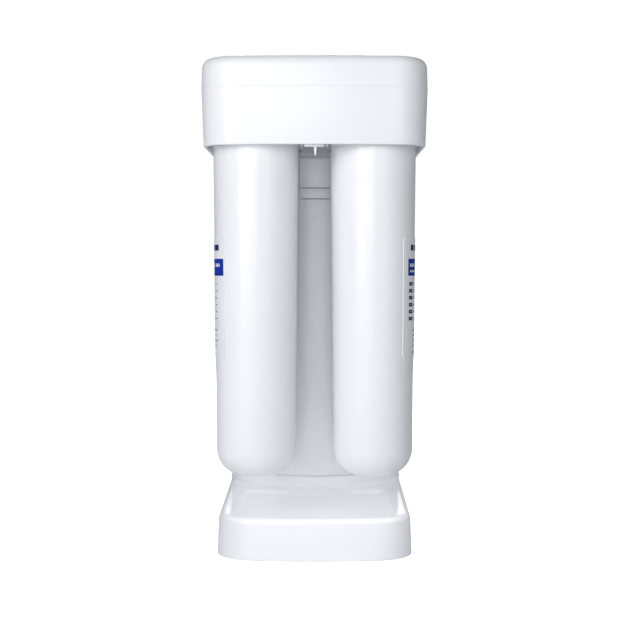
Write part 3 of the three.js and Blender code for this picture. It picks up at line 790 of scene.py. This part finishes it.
def socket_rim(stage):
    """The upstand round a cartridge's hole, inside the head."""
    centre = middle(f"{stage}_body")
    inner = CARTRIDGE_RADIUS + HOLE_CLEARANCE
    outer = inner + 1.8
    low = UNDERSIDE[1] - 0.4
    top = low + 5
    profile = filleted(
        [(inner, low, 0.3), (outer, low, 0.2), (outer, top, 0.5), (inner, top, 0.5)]
    )
    surface = Surface().turned(profile, (centre.x, centre.y, 0), closed=True)
    make_piece(f"{stage}_rim", surface, MATERIALS["shell"], "frame")


# ---- Base ----

BASE_CENTRE = (0.0, -92.0)
BASE_ANGLES = ring_angles(plan_outline(BASE_PLAN), BASE_CENTRE)


def base_ring(inset, z):
    return ring(plan_outline(BASE_PLAN, inset), BASE_CENTRE, BASE_ANGLES, z)


def tray_ring(inset, z):
    return ring(tray_outline(inset), BASE_CENTRE, BASE_ANGLES, z)


def base_shell():
    """The base: its wall, a rounded upper edge, and a shallow tray with soft edges."""
    low = BASE_LOW.z
    wall = filleted(
        [
            (BASE_WALL + 0.3, low + 12, 0),
            (BASE_WALL, low, 0.5),
            (0, low, 0.7),
            (BASE_DRAFT, BASE_TOP, BASE_EDGE),
            (BASE_DRAFT + BASE_EDGE + 1.5, BASE_TOP, 0),
        ],
        closed=False,
        steps=8,
    )
    dish = filleted(
        [
            (-3.5, BASE_TOP, 0),
            (0, BASE_TOP, 2.6),
            (TRAY_SLOPE, BASE_TOP - TRAY_DEPTH, 4.0),
            (TRAY_SLOPE + 4.5, BASE_TOP - TRAY_DEPTH, 0),
        ],
        closed=False,
        steps=8,
    )
    rings = [base_ring(inset, z) for inset, z in wall] + [tray_ring(inset, z) for inset, z in dish]
    surface = Surface().loft(domed(rings, BASE_CENTRE, 0.0))
    shell = MATERIALS["shell"]
    return make_piece("base_moulding", surface, shell, "frame", ["base_shell"])


def base_collar():
    """The round collar that the tank stands in, flared where it meets the base's top."""
    outer = BASE_PLAN["rear_half"] - BASE_DRAFT - 0.3
    top = BASE_HIGH.z
    profile = filleted(
        [
            (COLLAR_BORE, BASE_TOP - 0.5, 0),
            (outer + COLLAR_FLARE, BASE_TOP + 0.02, 0),
            (outer, BASE_TOP + 0.02, 1.0),
            (outer - 0.2, top, 0.25),
            (COLLAR_BORE, top, 0.6),
        ],
        steps=6,
    )
    surface = Surface().turned(profile, (0, TANK_Y, 0), closed=True, steps=192)
    return make_piece("base_collar", surface, MATERIALS["shell"], "frame")


def base_underside():
    """The plate that closes the base, with a hole for each screw."""
    outline = plan_outline(BASE_PLAN, BASE_WALL + 0.6)
    screws = [middle(f"base_screw_{i}") for i in range(1, 5)]
    holes = [arc(screw, 1.9, 0, 360, 24)[:-1] for screw in screws]
    surface = plate_with_holes("base_cover", outline, holes, PLATE_LOW.z, PLATE_HIGH.z, 0.4)
    make_piece(
        "base_cover", surface, MATERIALS["inner_plastic"], "frame", ["base_plate"]
    )


def foot(number):
    """A rubber foot with a rounded rim and a shallow ring on its sole."""
    node = f"foot_{number}"
    low, high = span(node)
    centre = middle(node)
    radius = (high.x - low.x) / 2
    profile = filleted(
        [
            (0.01, low.z + 0.3, 0),
            (radius - 4, low.z + 0.3, 0.2),
            (radius - 3.4, low.z, 0.2),
            (radius - 0.6, low.z, 0.8),
            (radius, high.z, 0.3),
            (0.01, high.z, 0),
        ],
        closed=False,
        steps=4,
    )
    surface = Surface().turned(profile, (centre.x, centre.y, 0), steps=64)
    sole = MATERIALS["rubber"]
    return make_piece(f"rubber_foot_{number}", surface, sole, "frame", [node])


# ---- Tank ----


def tank_piece(name, profile, body_slot, nodes, steps=192):
    surface = Surface().turned(profile, (0, TANK_Y, 0), closed=True, steps=steps)
    return make_piece(name, surface, MATERIALS[body_slot], "frame", nodes)


def tank_lower_shell():
    """The tank's lower shell: a spigot in the collar, a shoulder, and a flange at the ring."""
    radius, step = TANK_RADIUS, TANK_STEP
    flange, mouth = radius + TANK_FLANGE, radius - TANK_LAP
    top = RING_LOW.z - 0.4
    shoulder = BASE_HIGH.z + 1.4
    profile = filleted(
        [
            (0.01, TANK_LOW.z, 0),
            (TANK_SPIGOT, TANK_LOW.z, 1.0),
            (TANK_SPIGOT, shoulder, 0.3),
            (radius, shoulder, 0.3),
            (radius, step - 0.3, 0.25),
            (radius - 0.5, step, 0.2),
            (flange, step + 0.35, 0.3),
            (flange, top, 0.9),
            (mouth, top, 0.3),
            (mouth, shoulder + 4, 4),
            (0.01, shoulder + 4, 0),
        ],
        steps=6,
    )
    return tank_piece("tank_lower", profile, "tank", ["tank_lower_shell"])


def tank_clamp_ring():
    """The ring that clamps the tank's shells together, rounded above and below."""
    low, high = RING_LOW.z, RING_HIGH.z
    outer = (RING_HIGH.y - RING_LOW.y) / 2
    profile = filleted(
        [
            (outer - 5, low, 0.2),
            (outer, low, 1.1),
            (outer + 0.05, (low + high) / 2, 20),
            (outer, high, 1.1),
            (outer - 5, high, 0.2),
        ],
        steps=6,
    )
    return tank_piece("tank_ring", profile, "tank", ["tank_clamp_ring"])


def tank_upper_shell():
    """The tank's upper shell, with its shoulder and neck inside the head."""
    low = RING_HIGH.z + 0.45
    shoulder = UNDERSIDE[0] - 2.5
    top = span("tank_upper_shell")[1].z
    radius, mouth = TANK_RADIUS, TANK_RADIUS - TANK_LAP
    neck, bore = 14.0, 8.6
    profile = filleted(
        [
            (mouth, low, 0.3),
            (radius, low, 0.5),
            (radius, shoulder + 4, 9),
            (radius - 28, shoulder + 17.5, 14),
            (neck, shoulder + 23.5, 4),
            (neck, top, 0.8),
            (bore, top, 0.6),
            (bore, shoulder + 19.5, 2),
            (radius - 28, shoulder + 13.5, 12),
            (mouth, shoulder, 6),
        ],
        steps=8,
    )
    return tank_piece("tank_upper", profile, "tank", ["tank_upper_shell"])


# ---- Cartridges ----


def cartridge_radius(z):
    """A cartridge's outer radius at a height above its round bottom."""
    length = CARTRIDGE_TOP - CARTRIDGE_BOTTOM - CARTRIDGE_ROUND
    return CARTRIDGE_RADIUS - CARTRIDGE_TAPER * (CARTRIDGE_TOP - z) / length


def cartridge_piece(stage, name, surface, slot, part):
    """A piece that rides on a cartridge and stands for one of its CAD nodes."""
    node = f"{stage}_{part}"
    body = f"{stage}_cartridge"
    return make_piece(f"{stage}_{name}", surface, MATERIALS[slot], body, [node])


def cartridge_body(stage):
    """A cartridge's housing: one smooth taper that ends in a rounded, slightly domed bottom."""
    centre = middle(f"{stage}_body")
    low_radius = CARTRIDGE_RADIUS - CARTRIDGE_TAPER
    bottom, top, wall = CARTRIDGE_BOTTOM, CARTRIDGE_TOP, CARTRIDGE_WALL
    turn = (low_radius - CARTRIDGE_ROUND, bottom + CARTRIDGE_ROUND + 0.6)
    dome = [(0.01, bottom)]
    dome += arc(turn, CARTRIDGE_ROUND, -90, 0, 28)
    inside = arc(turn, CARTRIDGE_ROUND - wall, 0, -90, 12)
    rim = filleted(
        [
            (cartridge_radius(top - 6), top - 6, 0),
            (CARTRIDGE_RADIUS, top, 0.6),
            (CARTRIDGE_RADIUS - wall, top, 0.4),
            (CARTRIDGE_RADIUS - wall, top - 6, 0),
        ],
        closed=False,
    )
    profile = dome + rim + inside + [(0.01, bottom + wall)]
    surface = Surface().turned(profile, (centre.x, centre.y, 0), steps=160)
    return cartridge_piece(stage, "housing", surface, "cartridge", "body")


def cartridge_cap(stage):
    """A cartridge's cap: flange, neck with an O-ring groove, tip, bayonet lugs and drive keys."""
    centre = middle(f"{stage}_body")
    flange = CARTRIDGE_TOP + 0.4
    inside = CARTRIDGE_RADIUS - CARTRIDGE_WALL - 0.5
    rim = CARTRIDGE_RADIUS - 0.2
    neck_top, tip = CARTRIDGE_TOP + 19, CARTRIDGE_TOP + 26
    groove_low, groove_high = CARTRIDGE_TOP + 13, CARTRIDGE_TOP + 16.6
    profile = filleted(
        [
            (TIP_BORE, flange - 8, 0.3),
            (inside, flange - 8, 0.4),
            (inside, flange, 0),
            (rim, flange, 0.3),
            (rim, flange + 3, 0.9),
            (NECK_RADIUS, flange + 3, 1.2),
            (NECK_RADIUS, groove_low, 0.25),
            (GROOVE_RADIUS, groove_low, 0.25),
            (GROOVE_RADIUS, groove_high, 0.25),
            (NECK_RADIUS, groove_high, 0.25),
            (NECK_RADIUS, neck_top, 0.7),
            (TIP_RADIUS, neck_top, 0.6),
            (TIP_RADIUS, tip, 0.7),
            (TIP_BORE, tip, 0.5),
        ],
        steps=3,
    )
    surface = Surface().turned(profile, (centre.x, centre.y, 0), closed=True, steps=96)
    for turn in (0, 120, 240):
        add_lug(surface, centre, turn)
    for side in (-1, 1):
        add_key(surface, (centre.x + side * 8.5, centre.y), tip)
    return cartridge_piece(stage, "neck", surface, "inner_plastic", "cap")


def add_lug(surface, centre, turn):
    """A bayonet lug on a cartridge's neck: a block with an arc for its outer face."""
    width = 13.0
    low = CARTRIDGE_TOP + 5.6
    rings = []
    for z, inset in ((low, 0.5), (low + 0.5, 0), (low + 3.5, 0), (low + 4, 0.5)):
        outer = arc(centre, 25.8 - inset, turn - width + inset, turn + width - inset, 8)
        inner = arc(centre, 21.5, turn + width - inset, turn - width + inset, 8)
        rings.append([(x, y, z) for x, y in outer + inner])
    surface.loft(rings, caps=(True, True))


def add_key(surface, centre, tip, half=2.5):
    """A square key on a cartridge's tip, which turns the valve rotor."""
    (x, y), low, high = centre, tip - 0.5, tip + 4
    surface.block((x - half, y - half, low), (x + half, y + half, high), 0.5)


def cartridge_seal(stage):
    """The O-ring in the neck's groove."""
    centre = middle(f"{stage}_body")
    section = arc((22.2, CARTRIDGE_TOP + 14.8), 1.4, 0, 360, 16)[:-1]
    surface = Surface().turned(section, (centre.x, centre.y, 0), closed=True, steps=96)
    return cartridge_piece(stage, "o_ring", surface, "rubber", "seal")


# ---- Labels ----

FILM, BAND, NAVY, GREY, KNOCKOUT = range(5)


class Label:
    """A label wrapped round the outward side of one cartridge.

    A mark is placed by its share across the label as it is read, from 0 to 1, and by its height.
    """

    def __init__(self, stage):
        self.stage = stage
        self.centre = middle(f"{stage}_body")
        self.side = 1 if self.centre.x > 0 else -1
        self.surface = Surface()

    def point(self, across, z, raised):
        turn = (across * 2 - 1) * LABEL_HALF_ANGLE + (0 if self.side > 0 else 180)
        radius = cartridge_radius(z) + raised
        angle = math.radians(turn)
        return (
            self.centre.x + radius * math.cos(angle),
            self.centre.y + radius * math.sin(angle),
            z,
        )

    def film(self, corner=4.0, columns=40):
        """The label's film, with rounded corners and a thin edge."""
        width = 2 * math.radians(LABEL_HALF_ANGLE) * CARTRIDGE_RADIUS
        columns_at = (1 - np.cos(np.linspace(0, math.pi, columns))) / 2
        top, base = [], []
        for across in columns_at:
            from_edge = min(across, 1 - across) * width
            short = corner - math.sqrt(corner**2 - (corner - min(from_edge, corner)) ** 2)
            top.append((across, LABEL_HIGH - short))
            base.append((across, LABEL_LOW + short))
        for raised in (FILM_THICKNESS, 0.0):
            self.sheet_rows(base, top, raised)
        self.edge(base + top[::-1])

    def sheet_rows(self, base, top, raised, rows=12, finish=FILM):
        first = len(self.surface.vertices)
        for row in range(rows + 1):
            for (across, z0), (_, z1) in zip(base, top):
                z = z0 + (z1 - z0) * row / rows
                self.surface.vertices.append(self.point(across, z, raised))
        count = len(base)
        for row in range(rows):
            for i in range(count - 1):
                a = first + row * count + i
                self.surface.face((a, a + 1, a + 1 + count, a + count), finish)

    def edge(self, outline):
        first = len(self.surface.vertices)
        for raised in (0.0, FILM_THICKNESS):
            self.surface.vertices += [self.point(across, z, raised) for across, z in outline]
        count = len(outline)
        for i in range(count):
            j = (i + 1) % count
            self.surface.face((first + i, first + j, first + count + j, first + count + i))

    def mark(self, left, right, low, high, finish, raised=INK_RAISED):
        """A rectangle of ink."""
        columns = max(2, int((right - left) * 30))
        across = np.linspace(left, right, columns)
        self.sheet_rows([(a, low) for a in across], [(a, high) for a in across], raised, 1, finish)

    def words(self, left, right, low, high, finish, seed, raised=INK_RAISED, letter=0.022):
        """A run of small bars that stands for a line of print."""
        chance = random.Random(seed)
        at = left
        while at < right:
            length = letter * chance.choice((2, 3, 4, 5))
            self.mark(at, min(at + length, right), low, high, finish, raised)
            at += length + letter * 0.8

    def print_all(self):
        """A heading, a blue band with a title, a column of boxes with lines, and small print."""
        self.film()
        self.words(0.18, 0.835, 260.2, 265.2, NAVY, 1, letter=0.035)
        self.mark(0.11, 0.957, 238.8, 253.2, BAND)
        self.words(0.16, 0.86, 246.4, 249.2, KNOCKOUT, 2, KNOCKOUT_RAISED)
        self.words(0.16, 0.6, 241.8, 243.6, KNOCKOUT, 3, KNOCKOUT_RAISED, 0.015)
        for row in range(6):
            z = 233.6 - 5.9 * row
            self.mark(0.14, 0.26, z - 3.1, z, NAVY)
            self.mark(0.19, 0.212, z - 1.9, z - 1.1, KNOCKOUT, KNOCKOUT_RAISED)
            self.words(0.31, 0.5 + 0.08 * (row % 3), z - 2.2, z - 1.0, GREY, 10 + row, letter=0.014)
            self.words(0.7, 0.76, z - 2.2, z - 1.2, GREY, 20 + row, letter=0.014)
        for row in range(4):
            z = 192.0 - 4.5 * row
            self.words(0.3, 0.76 - 0.06 * (row % 2), z, z + 1.2, GREY, 30 + row, letter=0.013)
        self.mark(0.3, 0.36, 172.5, 175.0, NAVY)
        materials = [MATERIALS["label"], INKS["blue"], INKS["navy"], INKS["grey"], INKS["white"]]
        return make_piece(
            f"{self.stage}_sticker",
            self.surface,
            materials,
            f"{self.stage}_cartridge",
            [f"{self.stage}_label"],
        )


# ---- Screws and what shows inside the head ----


def screw(node, upward):
    """A pan-head screw with a round recess in its head."""
    low, high = span(node)
    centre = middle(node)
    rest = high.z - 2.6 if upward else low.z + 2.6
    way = 1 if upward else -1
    head = filleted(
        [
            (0.01, 0, 0),
            (3.6, 0, 0.2),
            (3.6, 1.1, 0.6),
            (2.3, 2.2, 0.9),
            (0.9, 2.2, 0.1),
            (0.5, 1.2, 0.1),
            (0.01, 1.2, 0),
        ],
        closed=False,
        steps=3,
    )
    seat = (centre.x, centre.y, rest)
    surface = Surface().turned([(r, way * h) for r, h in head], seat, steps=40)
    shank = [(1.4, 0), (1.4, -way * 12.5), (0.3, -way * 14), (0.01, -way * 14)]
    surface.turned(shank, seat, steps=20)
    return make_piece(f"{node}_steel", surface, MATERIALS["steel"], "frame", [node])


def dress_cad_nodes():
    """Gives each CAD node that stays its material and softens its moulded edges."""
    slots = {entry["node"]: entry["material_slot"] for entry in frame["record"]["subparts"]}
    for node, slot in slots.items():
        if node not in frame["nodes"]:
            continue
        part = bpy.data.objects.get(node)
        if part is None or part.type != "MESH":
            continue
        part.data.materials.clear()
        part.data.materials.append(MATERIALS[slot])
        part.data.shade_smooth()
        part.data.set_sharp_from_angle(angle=math.radians(32))
        soften = part.modifiers.new("soft_edges", "BEVEL")
        soften.width = 0.35 * MM
        soften.segments = 2
        soften.limit_method = "ANGLE"
        soften.angle_limit = math.radians(40)


# ---- Studio ----


def floor():
    """A pale floor, wide enough to reach past the view."""
    surface = Surface()
    half = 6000.0
    surface.vertices = [(-half, -half, 0), (half, -half, 0), (half, half, 0), (-half, half, 0)]
    surface.face((0, 1, 2, 3))
    mesh = bpy.data.meshes.new("floor")
    mesh.from_pydata([Vector(v) * MM for v in surface.vertices], [], surface.faces)
    piece = bpy.data.objects.new("floor", mesh)
    bpy.context.collection.objects.link(piece)
    shader = Shader("floor_paint", 0.9)
    shader.colours(shader.noise(2.0), (0.86, 0.87, 0.885), (0.88, 0.885, 0.9))
    mesh.materials.append(shader.material)
    whiten(shader, 0.93)


def whiten(shader, strength):
    """Lets a stage material glow for the camera alone: it shows white but lights nothing."""
    glow = shader.nodes.new("ShaderNodeEmission")
    glow.inputs["Strength"].default_value = strength
    path = shader.nodes.new("ShaderNodeLightPath")
    seen = shader.nodes.new("ShaderNodeMixShader")
    both = shader.nodes.new("ShaderNodeAddShader")
    dark = shader.nodes.new("ShaderNodeEmission")
    dark.inputs["Strength"].default_value = 0
    shader.links.new(path.outputs["Is Camera Ray"], seen.inputs["Fac"])
    shader.links.new(dark.outputs["Emission"], seen.inputs[1])
    shader.links.new(glow.outputs["Emission"], seen.inputs[2])
    shader.links.new(shader.surface.outputs["BSDF"], both.inputs[0])
    shader.links.new(seen.outputs["Shader"], both.inputs[1])
    output = shader.nodes["Material Output"]
    shader.links.new(both.outputs["Shader"], output.inputs["Surface"])


def softbox(name, place_at, aim, size, power, lights_only=(), shaded_by=()):
    """A rectangular area light at a place in metres, aimed at another.

    It can be kept to some pieces, as flags do in a studio, and take its shadows from some alone.
    """
    data = bpy.data.lights.new(name, "AREA")
    data.shape = "RECTANGLE"
    data.size, data.size_y = size
    data.energy = power
    light = bpy.data.objects.new(name, data)
    light.location = place_at
    light.rotation_euler = (Vector(aim) - Vector(place_at)).to_track_quat("-Z", "Y").to_euler()
    bpy.context.collection.objects.link(light)
    if lights_only:
        light.light_linking.receiver_collection = group(f"{name}_lit", lights_only)
    if shaded_by:
        light.light_linking.blocker_collection = group(f"{name}_shading", shaded_by)


def group(name, pieces):
    """A collection that only lists pieces for a light."""
    listed = bpy.data.collections.new(name)
    for piece in pieces:
        listed.objects.link(piece)
    return listed


def lights(base, tank):
    """A large key on the left, weaker fills, and two small lights kept to the tray and the tank."""
    unit = (0, 0, 0.22)
    tray = (0, -0.1, 0.034)
    softbox("key", (-0.9, -1.6, 0.75), unit, (0.8, 1.2), 15.7)
    softbox("front_fill", (-0.2, -1.9, 0.55), unit, (0.5, 0.7), 4.5)
    softbox("right_fill", (0.9, -1.6, 0.75), unit, (0.8, 1.2), 3.9)
    softbox("back_fill", (0, 2.0, 0.8), unit, (0.4, 0.8), 13)
    softbox("tray_light", (0.3, -0.32, 0.85), tray, (0.4, 0.4), 3.5, base, base)
    softbox("tank_light", (0, -1.6, 0.2), (0, 0, 0.2), (0.2, 0.3), 4.1, tank)


def world():
    """An even white backdrop that lights the unit less than it shows."""
    scene_world = bpy.data.worlds.new("studio")
    scene_world.use_nodes = True
    nodes, links = scene_world.node_tree.nodes, scene_world.node_tree.links
    seen = nodes["Background"]
    seen.inputs["Color"].default_value = (1, 1, 1, 1)
    seen.inputs["Strength"].default_value = 1.05
    lit = nodes.new("ShaderNodeBackground")
    lit.inputs["Color"].default_value = (0.88, 0.93, 1, 1)
    lit.inputs["Strength"].default_value = 0.24
    path = nodes.new("ShaderNodeLightPath")
    mix = nodes.new("ShaderNodeMixShader")
    links.new(path.outputs["Is Camera Ray"], mix.inputs["Fac"])
    links.new(lit.outputs["Background"], mix.inputs[1])
    links.new(seen.outputs["Background"], mix.inputs[2])
    links.new(mix.outputs["Shader"], nodes["World Output"].inputs["Surface"])
    bpy.context.scene.world = scene_world


def camera():
    """Straight on, a little above the middle, with a short telephoto."""
    data = bpy.data.cameras.new("camera")
    data.lens = 85.2
    data.sensor_width = 36.0
    view = bpy.data.objects.new("camera", data)
    view.location = (0.0051, -1.4085, 0.2462)
    view.rotation_euler = (math.radians(90 - 1.76), 0, math.radians(0.31))
    bpy.context.collection.objects.link(view)
    bpy.context.scene.camera = view
    bpy.context.scene.view_settings.view_transform = "Standard"


# ---- Assembly ----

camera()
world()
floor()

dress_cad_nodes()
head_lid()
head_skirt()
head_underside()
rear_recess()
for port in PORTS:
    connector(port)
    collet(port)
base_pieces = [base_shell(), base_collar()]
base_underside()
tank_pieces = [tank_lower_shell(), tank_clamp_ring(), tank_upper_shell()]
for number in range(1, 5):
    foot(number)
    screw(f"base_screw_{number}", upward=False)
    screw(f"manifold_screw_{number}", upward=True)
for stage in STAGES:
    cartridge_body(stage)
    cartridge_cap(stage)
    cartridge_seal(stage)
    Label(stage).print_all()
lights(base_pieces, tank_pieces)
